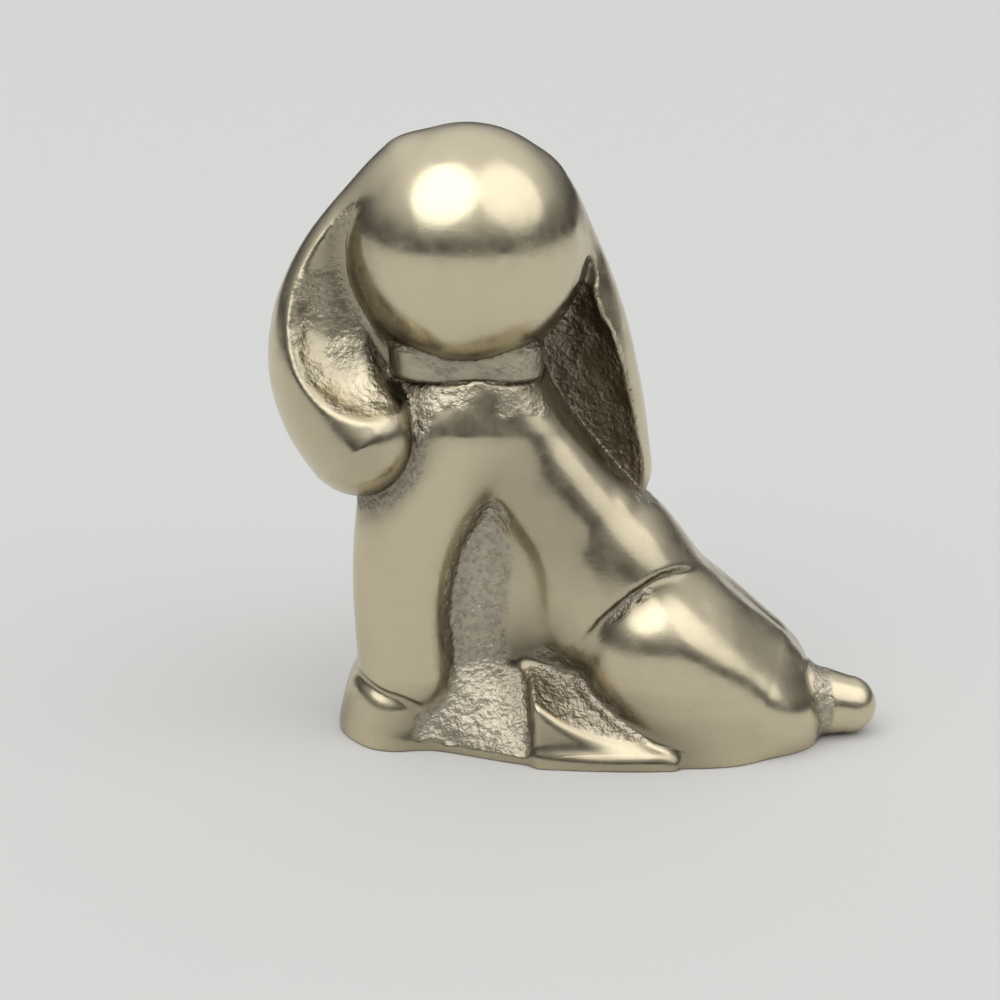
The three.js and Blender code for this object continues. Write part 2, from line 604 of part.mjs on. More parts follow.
const [tailRoot, , tailTip] = TAIL;
const tailAxis = (x) => ({ x, y: -TAIL_SIDE, z: TAIL[1].z });
const tailSpigotEnd = tailRoot.x - tailRoot.radius - TAIL_SPIGOT_LENGTH;
const tailSpigotStart = tailTip.x - tailRoot.radius;
const tailSpigot = pin(tailAxis(tailSpigotStart), tailAxis(tailSpigotEnd), TAIL_SPIGOT_RADIUS);
const tailSocket = pin(tailAxis(tailSpigotStart), tailAxis(tailSpigotEnd - JOINT_GAP),
  TAIL_SPIGOT_RADIUS + JOINT_GAP);
const tailForm = limb(TAIL.map((s) => ({ ...s, y: -TAIL_SIDE })));
const rumpRoom = cast(grown(haunches, JOINT_GAP), LEG_CELL).add(ground(JOINT_GAP));
const tail = main(cast(tailForm, TAIL_CELL).subtract(floor).subtract(rumpRoom).subtract(chestRoom)
  .subtract(leftLeg.room).subtract(rightLeg.room)).add(tailSpigot);

const body = main(bodyBlank.subtract(leftLeg.room).subtract(rightLeg.room).subtract(tailSocket)
  .subtract(headRoom).subtract(aboveNeck)).add(neckSpigot);

/** The spigot runs from inside the flap towards the middle of the skull, and so does its socket. */
function ear(flap, hollow, heart) {
  const start = new THREE.Vector3(heart.x, heart.y + EAR_SPIGOT_DEPTH, heart.z);
  const inwards = skullCentre.clone().sub(start);
  const length = inwards.length() - SKULL_RADIUS + EAR_SPIGOT_LENGTH;
  const end = (extra) => start.clone().addScaledVector(inwards, (length + extra) / inwards.length());
  const blank = cast(flap, EAR_CELL).subtract(cast(hollow, EAR_CELL));
  const seated = main(blank.subtract(headRoom).subtract(chestRoom).subtract(collarBand));
  return {
    piece: seated.add(pin(start, end(0), EAR_SPIGOT_RADIUS)),
    socket: pin(start, end(JOINT_GAP), EAR_SPIGOT_RADIUS + JOINT_GAP),
  };
}

const leftEar = ear(leftFlap, leftHollow, onEar(-1, LEFT_EAR[1]));
const rightEar = ear(rightFlap, rightHollow, onEar(1, RIGHT_EAR[1]));
const head = main(headBlank.subtract(collarBand).subtract(neckSocket)
  .subtract(leftEar.socket).subtract(rightEar.socket));

// Assembly

const brass = { metalness: 1, roughness: 0.24 };
const pieces = {
  body: [body, 0xb9a877],
  head: [head, 0xc4b483],
  left_ear: [leftEar.piece, 0xb8a673],
  right_ear: [rightEar.piece, 0xb8a673],
  collar: [collar, 0x8d8163],
  left_hind_leg: [leftLeg.piece, 0xbfae7c],
  right_hind_leg: [rightLeg.piece, 0xbfae7c],
  tail: [tail, 0xb5a473],
};

function meshFrom(solid, name, colour) {
  const { vertProperties, triVerts } = solid.getMesh();
  const geometry = new THREE.BufferGeometry()
    .setAttribute('position', new THREE.BufferAttribute(vertProperties, 3))
    .setIndex(new THREE.BufferAttribute(triVerts, 1));
  geometry.computeVertexNormals();
  const mesh = new THREE.Mesh(geometry, new THREE.MeshStandardMaterial({ color: colour, ...brass }));
  mesh.name = name;
  return mesh;
}

const figurine = new THREE.Group();
for (const [name, [solid, colour]] of Object.entries(pieces)) {
  figurine.add(meshFrom(solid, name, colour));
}

// The origin goes on the floor under the middle of the whole figurine
const middle = new THREE.Box3().setFromObject(figurine).getCenter(new THREE.Vector3());
figurine.children.forEach((mesh) => mesh.position.set(-middle.x, -middle.y, 0));

export default figurine;
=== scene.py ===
# Brass puppy figurine: each casting is sculpted as a field, meshed, and finished in brass.
# Sculpting is in millimetres in the figurine's own frame: the chest faces -X, the tail points
# along +X, the camera looks along +Y, and the neck stands over x = NECK_X. A field is negative
# inside the metal and zero on its surface, and p holds the x, y and z of many points. A station
# of a limb is (x, y, z, radius). The angles of forms, lamps and camera are in degrees.

import math

import bpy
import numpy as np
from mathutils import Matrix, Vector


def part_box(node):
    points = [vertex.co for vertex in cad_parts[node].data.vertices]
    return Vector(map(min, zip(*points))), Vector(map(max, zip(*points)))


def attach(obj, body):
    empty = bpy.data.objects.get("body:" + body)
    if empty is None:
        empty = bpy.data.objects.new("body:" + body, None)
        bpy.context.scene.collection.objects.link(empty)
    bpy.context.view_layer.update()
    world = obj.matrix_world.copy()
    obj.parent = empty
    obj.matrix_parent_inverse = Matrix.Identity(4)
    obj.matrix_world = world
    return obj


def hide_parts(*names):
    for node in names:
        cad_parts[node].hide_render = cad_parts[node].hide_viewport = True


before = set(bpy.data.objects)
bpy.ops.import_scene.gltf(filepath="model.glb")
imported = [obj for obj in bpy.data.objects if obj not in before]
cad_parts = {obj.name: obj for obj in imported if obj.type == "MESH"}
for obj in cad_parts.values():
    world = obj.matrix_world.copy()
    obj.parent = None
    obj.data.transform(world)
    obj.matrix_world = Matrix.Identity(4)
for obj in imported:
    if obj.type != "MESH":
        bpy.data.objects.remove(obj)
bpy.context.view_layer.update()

MM = 0.001

# How finely the castings are meshed, with the side of a block in cells
CELL = 0.34
MARGIN = 4.0
SLOPE_STEP = 0.02
BLOCK = 4
LIMB_STEPS = 5
SETTLE_STEPS = 3

# How far from the surface a block may lie, in blocks, and the field's value in those left out
BLOCK_REACH = 1.4
FAR_INSIDE = -99.0
FAR_OUTSIDE = 99.0

# The share of the way that a point moves to even out its quads, and floors for divisors
EVENNESS = 0.7
LEAST_SLOPE = 0.2
TINY = 1e-6

# Neck and collar
NECK_X = -12.1
NECK_FOOT = (NECK_X, 0, 38.5, 9.4)
NECK_TOP = (NECK_X, 0.5, 50, 7.2)
COLLAR_MIDDLE_Z = 46.7
COLLAR_HALF_LENGTH = 8.9
COLLAR_HALF_BREADTH = 8.4
COLLAR_HALF_HEIGHT = 2.1
COLLAR_SQUARENESS = 5
COLLAR_ROUNDING = 0.8
COLLAR_GROOVE = 0.15
COLLAR_GROOVE_ROUNDING = 0.5

# Head: the face looks along +Y, turned a little about the neck
SKULL_CENTRE = (NECK_X, -1.2, 59.0)
SKULL_RADII = (13.5, 13.5, 13.93)
HEAD_TURN = 15
MUZZLE = (0, 13.3, -4.6)
MUZZLE_RADII = (6.3, 6.3, 5.1)
MUZZLE_FILLET = 5
JOWL = (2.6, 16.5, -6.4)
JOWL_RADII = (3.5, 3.5, 3.5)
CHIN = (0, 15.4, -9.3)
CHIN_RADII = (2.9, 3.0, 2.4)
LIP_FILLET = 0.3
MOUTH_FILLET = 1.2
NOSE = (0, 18.9, -2.7)
NOSE_RADII = (2.3, 1.8, 1.6)
NOSE_FILLET = 0.4
EYE = (4.8, 11.6, 2.4)
EYE_RADII = (1.9, 1.9, 1.9)
LID_RADII = (2.3, 2.1, 2.2)
LID_ROUNDING = 0.6
BROW = (4.4, 10.9, 5.2)
BROW_RADII = (3.2, 2.2, 1.6)
BROW_FILLET = 2

# Ears
EAR_BREADTH = 1.3
EAR_FILLET = 2.2
LEFT_EAR = ((-18.5, -0.5, 67.5, 3.7), (-28.4, -1.5, 51.2, 5.9), (-24.1, -3.5, 38.0, 7.5))
LEFT_EAR_WEB = (-20.5, -0.5, 46.0)
LEFT_EAR_WEB_RADII = (5.5, 4.8, 11.0)
LEFT_EAR_WEB_FILLET = 1
LEFT_HOLLOW_CENTRE = (-22.4, -11.0, 54.3)
LEFT_HOLLOW_RADII = (11.6, 6.6, 13.2)
LEFT_HOLLOW_LEAN = -2
LEFT_HOLLOW_TIP = 12
LEFT_RIM_ROUNDING = 0.8
RIGHT_EAR = ((-4.3, 0.5, 65.4, 3.2), (0.4, 3.5, 51.1, 5.5), (3.8, 3.5, 32.0, 6.1))
RIGHT_HOLLOW = ((-0.4, -3.0, 56.4, 3.4), (-3.2, -6.2, 46.5, 9.8), (0.6, -6.5, 33.0, 9.6))
RIGHT_RIM_ROUNDING = 0.5

# Torso
TORSO = ((-9.5, 0, 41.5, 6.2), (5.2, 0, 21.2, 7.7), (21.3, 0, 6.8, 7.2))
TORSO_BREADTH = 1.35
TORSO_SQUARENESS = 2.4
BELLY_CENTRE = (4.0, 0, 17.5)
BELLY_RADII = (10.5, 10.8, 12.5)
WEB_CENTRE = (-5.0, 0, 14.0)
WEB_HALF = (11.0, 6.0, 16.0)
WEB_ROUNDING = 1
NECK_FILLET = 4
BELLY_FILLET = 3
WEB_FILLET = 2.2

# Forelegs, given for the +Y side
FORELEG = ((-14.2, 0.5, 36.0, 9.6), (-19.1, 3.4, 24.0, 6.5), (-19.2, 3.6, 9.0, 6.0))
FORELEG_SQUARENESS = 2.2
FORELEG_FILLET = 0.6
FORELEGS_FILLET = 1.0
SHOULDER_Z = (31, 38)
SHOULDER_EXTRA_FILLET = 2.0
FORE_PAW_CENTRE = (-22.9, 4.5, 0.0)
FORE_PAW_HALF = (5.3, 4.8, 7.9)
FORE_PAW_ROUNDING = 3.4

# Two planes cut the front of a forepaw and its outer corner: SLOPE is the way a plane faces,
# as (along, up) or (along, across), and REACH is how far out it lies
FORE_PAW_FRONT_REACH = 26.8
FORE_PAW_FRONT_SLOPE = (0.916, 0.402)
FORE_PAW_FRONT_ROUNDING = 2.5
FORE_PAW_CORNER_REACH = 24.3
FORE_PAW_CORNER_SLOPE = (0.8, 0.6)
FORE_PAW_CORNER_ROUNDING = 2

# The groove that parts a forepaw from its leg
FORE_PAW_GROOVE_WIDTH = 0.7
FORE_PAW_GROOVE_DEPTH = 0.35
FORE_PAW_GROOVE_FLOOR_ROUNDING = 0.6
FORE_PAW_GROOVE_EDGE_ROUNDING = 0.8
FORE_PAW_FILLET = 0.5

# Hind legs, given for the +Y side
HAUNCH = ((11.3, 7.0, 12.2, 9.4), (16.8, 6.6, 9.8, 9.4), (22.0, 5.8, 7.0, 9.0))
SHANK = ((11.6, 7.0, 11.0, 9.2), (14.2, 7.4, 5.5, 8.9), (16.4, 7.6, 0.0, 8.0))
RUMP = ((22.0, 5.8, 7.0, 8.8), (22.2, 5.5, 3.5, 8.5), (22.5, 4.7, 0.0, 7.6))
THIGH_BREADTH = 0.79
SHANK_FILLET = 2
RUMP_FILLET = 1.5
BACK_LINE = 27.3
BACK_SLOPE = (0.7, 0.71)
BACK_SIDE_FALL = 0.32
BACK_ROUNDING = 4.0

# The hind paws are flat-sided wedges: the ridge is high at the toe and falls towards the heel
HIND_LEG_INNER_SIDE = 5.0
HIND_PAW_TOE_X = -4.4
HIND_PAW_HEEL_X = 12.0
HIND_PAW_SIDE = 14.4
HIND_PAW_SPLAY = 0.03
HIND_PAW_LEAN = 0.18
HIND_PAW_TOE_HEIGHT = 7.7
HIND_PAW_FALL = 8.0
HIND_PAW_TOE_SKEW = 0.15
HIND_PAW_TOE_BREADTH = 3
HIND_PAW_TOE_ROUNDING = 1
HIND_PAW_TOE_EXTRA_ROUNDING = 2
HIND_PAW_TOP_WEIGHT = 0.6
HIND_PAW_RIDGE_ROUNDING = 0.5
HIND_PAW_END_ROUNDING = 1
HIND_PAW_FILLET = 1.2

# The crease over a haunch fades out where the haunch merges with the rump and in the valley
# over its paw, and the fillet beside it grows there
HAUNCH_MERGE_X = (10, 19)
HAUNCH_VALLEY_Z = (12, 18)
HAUNCH_GROOVE_WIDTH = 1.0
HAUNCH_GROOVE_DEPTH = 0.8
HAUNCH_GROOVE_FADE = 1.1
HAUNCH_GROOVE_FLOOR_ROUNDING = 0.8
HAUNCH_GROOVE_EDGE_ROUNDING = 1.0
HAUNCH_FILLET = 0.5
HAUNCH_MERGE_FILLET = 1.8
HAUNCH_VALLEY_FILLET = 0.6
HAUNCH_FOOT_FILLET_LOSS = 1.2

# Ground under the figure
BASE_FRONT_X = -27.9
BASE_FRONT_HALF_WIDTH = 9.2
BASE_REAR_X = 31.2
BASE_OVAL_HALF_LENGTH = 24.8
BASE_HALF_WIDTH = 15.1
BASE_WAIST_BLEND = 4
BASE_EDGE_HEIGHT = 1.3
BASE_REAR_EDGE_HEIGHT = 2.0
BASE_REAR_RISE_X = (8, 15)
BASE_CORNER_ROUNDING = 1

# The weight makes the edge's field less steep, so that its rounding reaches further in
BASE_EDGE_WEIGHT = 0.7
BASE_EDGE_ROUNDING = 0.6
BASE_REAR_EXTRA_ROUNDING = 0.8
BASE_REAR_ROUNDING_X = (8, 14)
BASE_UNDERSIDE_ROUNDING = 0.3

# The bank of ground that rises from the base's edge to the belly
BANK_HEIGHT = 9.5
BANK_TOP_SIDE = 6.5
BANK_LEAST_RUN = 3
BANK_SLOPE_DROP = 0.3
BANK_TOP_LIFT = 0.3
BANK_FOOT_FILLET = 1.0
BANK_TOP_ROUNDING = 1.6
GROUND_FILLET = 1.3

# Tail
TAIL = ((28.5, -3.0, 4.2, 4.6), (33.7, -3.0, 3.5, 3.5))
TAIL_FILLET = 1.0

# How fast a casting sinks below the figure's surface past its border with the next one
SINK = 0.12
SINK_GROWTH = 0.3


# Fields and how they combine

def length(*parts):
    return np.sqrt(sum(part * part for part in parts))


def soft_min(a, b, k):
    """The smaller of two fields, with a fillet where they are less than k apart."""
    return np.minimum(a, b) - np.maximum(k - np.abs(a - b), 0) ** 2 / (4 * k)


def soft_max(a, b, k):
    """The larger of two fields, with the edge rounded where they are less than k apart."""
    return -soft_min(-a, -b, k)


def smooth(value, start, end):
    """0 before start, 1 after end, and a smooth step between them."""
    t = np.clip((value - start) / (end - start), 0, 1)
    return t * t * (3 - 2 * t)


def placed(p, centre, turn=0, lean=0, tip=0):
    """The points p in a frame at centre, turned about Z, leaned about Y and tipped about X."""
    x, y, z = (p[i] - centre[i] for i in range(3))
    c, s = math.cos(math.radians(turn)), math.sin(math.radians(turn))
    x, y = c * x + s * y, c * y - s * x
    c, s = math.cos(math.radians(lean)), math.sin(math.radians(lean))
    x, z = c * x - s * z, s * x + c * z
    c, s = math.cos(math.radians(tip)), math.sin(math.radians(tip))
    return x, c * y - s * z, s * y + c * z


def egg(q, radii):
    """An ellipsoid, with a field that is close to the distance near its surface."""
    scaled = length(*(q[i] / radii[i] for i in range(3)))
    slope = length(*(q[i] / radii[i] ** 2 for i in range(3)))
    return scaled * (scaled - 1) / np.maximum(slope, TINY)


def block(q, half, rounding):
    """A box with rounded edges, given by half its sides."""
    x, y, z = (np.abs(q[i]) - half[i] + rounding for i in range(3))
    outside = length(np.maximum(x, 0), np.maximum(y, 0), np.maximum(z, 0))
    return outside + np.minimum(np.maximum(x, np.maximum(y, z)), 0) - rounding


def straight(p, start, end):
    """A straight limb between two stations."""
    along = [end[i] - start[i] for i in range(4)]
    run = sum((p[i] - start[i]) * along[i] for i in range(3)) / sum(a * a for a in along[:3])
    t = np.clip(run, 0, 1)
    return length(*(p[i] - start[i] - t * along[i] for i in range(3))) - start[3] - t * along[3]


def limb(p, stations, breadth=1.0, squareness=2.0):
    """A limb along the parabola through three stations, met at t = 0, 1/2 and 1.

    It is breadth times as thick across Y as it is in the plane of the bend, and its section
    goes from an ellipse at squareness 2 towards a rectangle.
    """
    start, middle, end = (np.array(s, np.float32) for s in stations)
    push = 4 * middle - 3 * start - end
    turning = 2 * (start + end) - 4 * middle
    chord = end - start
    run = (p[0] - start[0]) * chord[0] + (p[2] - start[2]) * chord[2]
    t = np.clip(run / (chord[0] ** 2 + chord[2] ** 2), 0, 1)
    for _ in range(LIMB_STEPS):
        ox = start[0] + t * (push[0] + t * turning[0]) - p[0]
        oz = start[2] + t * (push[2] + t * turning[2]) - p[2]
        vx, vz = push[0] + 2 * t * turning[0], push[2] + 2 * t * turning[2]
        bend = vx * vx + vz * vz + 2 * np.maximum(ox * turning[0] + oz * turning[2], 0)
        t = np.clip(t - (ox * vx + oz * vz) / bend, 0, 1)
    ox, oy, oz, radius = (start[i] + t * (push[i] + t * turning[i]) for i in range(4))
    inplane, across = length(ox - p[0], oz - p[2]), np.abs(oy - p[1]) / breadth
    if squareness == 2:
        return length(inplane, across) - radius
    return (inplane ** squareness + across ** squareness) ** (1 / squareness) - radius


# Forms of the figure

def head_form(p):
    """The skull with the muzzle, brows, eyes, mouth and nose of a plain dog's face."""
    q = placed(p, SKULL_CENTRE, HEAD_TURN)
    near = (np.abs(q[0]), q[1], q[2])
    face = soft_min(egg(q, SKULL_RADII), egg(placed(q, MUZZLE), MUZZLE_RADII), MUZZLE_FILLET)
    face = soft_min(face, egg(placed(near, BROW), BROW_RADII), BROW_FILLET)
    face = soft_max(face, -egg(placed(near, EYE), LID_RADII), LID_ROUNDING)
    face = np.minimum(face, egg(placed(near, EYE), EYE_RADII))
    jowl, chin = egg(placed(near, JOWL), JOWL_RADII), egg(placed(q, CHIN), CHIN_RADII)
    face = soft_min(face, soft_min(jowl, chin, LIP_FILLET), MOUTH_FILLET)
    return soft_min(face, egg(placed(q, NOSE), NOSE_RADII), NOSE_FILLET)


def left_hollow(p):
    q = placed(p, LEFT_HOLLOW_CENTRE, lean=LEFT_HOLLOW_LEAN, tip=LEFT_HOLLOW_TIP)
    return egg(q, LEFT_HOLLOW_RADII)


def right_hollow(p):
    return limb(p, RIGHT_HOLLOW)


def left_ear_form(p):
    web = egg(placed(p, LEFT_EAR_WEB), LEFT_EAR_WEB_RADII)
    flap = soft_min(limb(p, LEFT_EAR, EAR_BREADTH), web, LEFT_EAR_WEB_FILLET)
    return soft_max(flap, -left_hollow(p), LEFT_RIM_ROUNDING)


def right_ear_form(p):
    return soft_max(limb(p, RIGHT_EAR, EAR_BREADTH), -right_hollow(p), RIGHT_RIM_ROUNDING)


def collar_form(p):
    """A flat band with square ends."""
    x, y, z = p[0] - NECK_X, p[1], p[2] - COLLAR_MIDDLE_Z
    n = COLLAR_SQUARENESS
    ring = (np.abs(x / COLLAR_HALF_LENGTH) ** n + np.abs(y / COLLAR_HALF_BREADTH) ** n) ** (1 / n)
    wall = (ring - 1) * COLLAR_HALF_LENGTH
    return soft_max(wall, np.abs(z) - COLLAR_HALF_HEIGHT, COLLAR_ROUNDING)


def foreleg_form(p, side):
    """A foreleg and its paw, with side 1 towards +Y and -1 towards -Y."""
    q = (p[0], p[1] * side, p[2])
    leg = limb(q, FORELEG, squareness=FORELEG_SQUARENESS)
    paw = block(placed(q, FORE_PAW_CENTRE), FORE_PAW_HALF, FORE_PAW_ROUNDING)
    along, up = FORE_PAW_FRONT_SLOPE
    front = up * q[2] - along * q[0] - FORE_PAW_FRONT_REACH
    along, across = FORE_PAW_CORNER_SLOPE
    corner = across * q[1] - along * q[0] - FORE_PAW_CORNER_REACH
    paw = soft_max(paw, front, FORE_PAW_FRONT_ROUNDING)
    paw = soft_max(paw, corner, FORE_PAW_CORNER_ROUNDING)
    bottom = -(leg + FORE_PAW_GROOVE_DEPTH)
    groove = soft_max(paw - FORE_PAW_GROOVE_WIDTH, bottom, FORE_PAW_GROOVE_FLOOR_ROUNDING)
    return soft_min(soft_max(leg, -groove, FORE_PAW_GROOVE_EDGE_ROUNDING), paw, FORE_PAW_FILLET)


def haunch_form(p, side):
    """Thigh, shank and rump in one round form, cut by the slope of the back."""
    q = (p[0], p[1] * side, p[2])
    haunch, shank, rump = (limb(q, part, THIGH_BREADTH) for part in (HAUNCH, SHANK, RUMP))
    round_part = soft_min(soft_min(haunch, shank, SHANK_FILLET), rump, RUMP_FILLET)
    along, up = BACK_SLOPE
    back = along * q[0] + up * q[2] + BACK_SIDE_FALL * np.abs(q[1]) - BACK_LINE
    return soft_max(round_part, back, BACK_ROUNDING)


def hind_paw_form(p, side):
    """The long paw in front of a haunch."""
    x, y, z = p[0], p[1] * side, p[2]
    run = np.clip(x, HIND_PAW_TOE_X, HIND_PAW_HEEL_X) - HIND_PAW_TOE_X
    ridge = HIND_PAW_TOE_HEIGHT * np.exp(-run / HIND_PAW_FALL)
    foot_side = HIND_PAW_SIDE + HIND_PAW_SPLAY * run
    ridge_side = foot_side - HIND_PAW_LEAN * ridge
    rise = (BANK_HEIGHT - ridge) / (ridge_side - BANK_TOP_SIDE)
    top = z - ridge - (ridge_side - y) * rise
    toe = HIND_PAW_TOE_X - x + HIND_PAW_TOE_SKEW * (y - ridge_side)
    toe = toe / math.hypot(1, HIND_PAW_TOE_SKEW)
    inwards = smooth(ridge_side - y, 0, HIND_PAW_TOE_BREADTH)
    toe_rounding = HIND_PAW_TOE_ROUNDING + HIND_PAW_TOE_EXTRA_ROUNDING * inwards
    form = soft_max(y + HIND_PAW_LEAN * z - foot_side, toe, toe_rounding)
    form = soft_max(form, HIND_PAW_TOP_WEIGHT * top, HIND_PAW_RIDGE_ROUNDING)
    form = soft_max(form, x - HIND_PAW_HEEL_X, HIND_PAW_END_ROUNDING)
    return soft_max(form, HIND_LEG_INNER_SIDE - y, HIND_PAW_END_ROUNDING)


def base_half_width(x):
    """Half the width of the base: a rounded front under the paws, an oval under the haunches."""
    to_front = 1 - np.clip((x - BASE_FRONT_X) / BASE_FRONT_HALF_WIDTH, 0, 1)
    front = np.where(x > 0, 0, BASE_FRONT_HALF_WIDTH * np.sqrt(1 - to_front ** 2))
    along = (x - BASE_REAR_X + BASE_OVAL_HALF_LENGTH) / BASE_OVAL_HALF_LENGTH
    oval = BASE_HALF_WIDTH * np.sqrt(np.maximum(1 - along ** 2, 0))
    return soft_max(front, oval, BASE_WAIST_BLEND)


def ground_form(p):
    """The step round the base and the bank that rises from it."""
    x, y, z = p
    half_width = base_half_width(x)
    edge = soft_max(np.abs(y) - half_width, BASE_FRONT_X - x, BASE_CORNER_ROUNDING)
    edge = soft_max(edge, x - BASE_REAR_X, BASE_CORNER_ROUNDING)
    rear_rise = (BASE_REAR_EDGE_HEIGHT - BASE_EDGE_HEIGHT) * smooth(x, *BASE_REAR_RISE_X)
    step = BASE_EDGE_HEIGHT + rear_rise
    rise = (BANK_HEIGHT - step) / np.maximum(half_width - BANK_TOP_SIDE, BANK_LEAST_RUN)
    slope = (z + rise * edge - step + BANK_SLOPE_DROP) / np.hypot(1, rise)
    top = soft_min(slope, z - step, BANK_FOOT_FILLET)
    rear_rounding = BASE_REAR_EXTRA_ROUNDING * smooth(x, *BASE_REAR_ROUNDING_X)
    form = soft_max(BASE_EDGE_WEIGHT * edge, top, BASE_EDGE_ROUNDING + rear_rounding)
    return soft_max(form, z - BANK_HEIGHT - BANK_TOP_LIFT, BANK_TOP_ROUNDING)


def trunk_form(p):
    """Torso, neck, forelegs and ground."""
    torso = limb(p, TORSO, TORSO_BREADTH, TORSO_SQUARENESS)
    torso = soft_min(torso, straight(p, NECK_FOOT, NECK_TOP), NECK_FILLET)
    torso = soft_min(torso, egg(placed(p, BELLY_CENTRE), BELLY_RADII), BELLY_FILLET)
    torso = soft_min(torso, block(placed(p, WEB_CENTRE), WEB_HALF, WEB_ROUNDING), WEB_FILLET)
    legs = soft_min(foreleg_form(p, -1), foreleg_form(p, 1), FORELEGS_FILLET)
    shoulder = SHOULDER_EXTRA_FILLET * smooth(p[2], *SHOULDER_Z)
    trunk = soft_min(torso, legs, FORELEG_FILLET + shoulder)
    return soft_min(trunk, ground_form(p), GROUND_FILLET)


def figure(p):
    """The field of the whole figure, and each casting's own field by its node's name."""
    own = {
        "head": head_form(p),
        "left_ear": left_ear_form(p),
        "right_ear": right_ear_form(p),
        "collar": collar_form(p),
        "tail": straight(p, *TAIL),
    }
    whole = soft_min(own["head"], own["left_ear"], EAR_FILLET)
    whole = soft_min(whole, own["right_ear"], EAR_FILLET)
    collar_seat = COLLAR_GROOVE - own["collar"]
    trunk = soft_max(trunk_form(p), collar_seat, COLLAR_GROOVE_ROUNDING)
    merge = smooth(p[0], *HAUNCH_MERGE_X)
    valley = 1 - smooth(p[2], *HAUNCH_VALLEY_Z)
    depth = HAUNCH_GROOVE_DEPTH - HAUNCH_GROOVE_FADE * np.maximum(merge, valley)
    fillet = HAUNCH_FILLET + HAUNCH_MERGE_FILLET * merge + HAUNCH_VALLEY_FILLET * valley
    fillet = fillet - HAUNCH_FOOT_FILLET_LOSS * merge * valley
    core = trunk
    for side, name in ((-1, "left_hind_leg"), (1, "right_hind_leg")):
        haunch, paw = haunch_form(p, side), hind_paw_form(p, side)
        trunk = soft_min(trunk, paw, HIND_PAW_FILLET)
        bottom = -(trunk + depth)
        groove = soft_max(haunch - HAUNCH_GROOVE_WIDTH, bottom, HAUNCH_GROOVE_FLOOR_ROUNDING)
        trunk = soft_min(soft_max(trunk, -groove, HAUNCH_GROOVE_EDGE_ROUNDING), haunch, fillet)
        inner = HIND_LEG_INNER_SIDE - side * p[1]
        own[name] = np.maximum(np.minimum(haunch, paw), inner)
        core = np.minimum(core, np.maximum(haunch, -inner))
    own["body"] = core
    whole = np.minimum(np.minimum(whole, trunk), own["collar"])
    whole = soft_min(whole, own["tail"], TAIL_FILLET)
    return soft_max(whole, -p[2], BASE_UNDERSIDE_ROUNDING), own


def casting_field(name):
    """One casting: the whole figure's surface where the casting is nearest, sunk elsewhere."""
    def field(p):
        whole, own = figure(p)
        others = [own[other] for other in own if other != name]
        past = np.maximum(own[name] - np.minimum.reduce(others), 0)
        return whole + SINK * past + SINK_GROWTH * past ** 2
    return field


# Meshing

CORNERS = np.array([(i, j, k) for i in (0, 1) for j in (0, 1) for k in (0, 1)])
EDGES = [(a, b) for a in range(len(CORNERS)) for b in range(a)
         if np.abs(CORNERS[a] - CORNERS[b]).sum() == 1]


def slope_of(field, p):
    """The field and its slope at the points p."""
    value = field(p)
    slope = np.empty_like(p)
    for axis in range(3):
        moved = p.copy()
        moved[axis] += SLOPE_STEP
        slope[axis] = (field(moved) - value) / SLOPE_STEP
    return value, slope


def settled(field, p, steps):
    """The points p moved along the slope until they lie on the surface."""
    for _ in range(steps):
        value, slope = slope_of(field, p)
        push = np.clip(value, -CELL / 2, CELL / 2) / np.maximum((slope ** 2).sum(0), LEAST_SLOPE)
        p = p - push * slope
    return p


def sampled(field, low, cells):
    """Field values at the grid's nodes, worked out only in the blocks that hold the surface."""
    blocks = -(-cells // BLOCK)
    middles = np.stack(np.meshgrid(*(np.arange(n) + 0.5 for n in blocks), indexing="ij"))
    middles = middles.reshape(3, -1) * BLOCK * CELL + low[:, None]
    coarse = field(middles.astype(np.float32)).reshape(blocks)
    near = np.abs(coarse) < BLOCK_REACH * BLOCK * CELL
    for axis in range(3):
        near, coarse = near.repeat(BLOCK, axis), coarse.repeat(BLOCK, axis)
    far = np.where(coarse < 0, FAR_INSIDE, FAR_OUTSIDE)
    values = np.pad(far, ((0, 1),) * 3, "edge").astype(np.float32)
    wanted = np.zeros(values.shape, bool)
    for i, j, k in CORNERS:
        wanted[i:i + near.shape[0], j:j + near.shape[1], k:k + near.shape[2]] |= near
    nodes = np.stack(np.nonzero(wanted)).astype(np.float32) * CELL + low[:, None]
    values[wanted] = field(nodes.astype(np.float32))
    return values


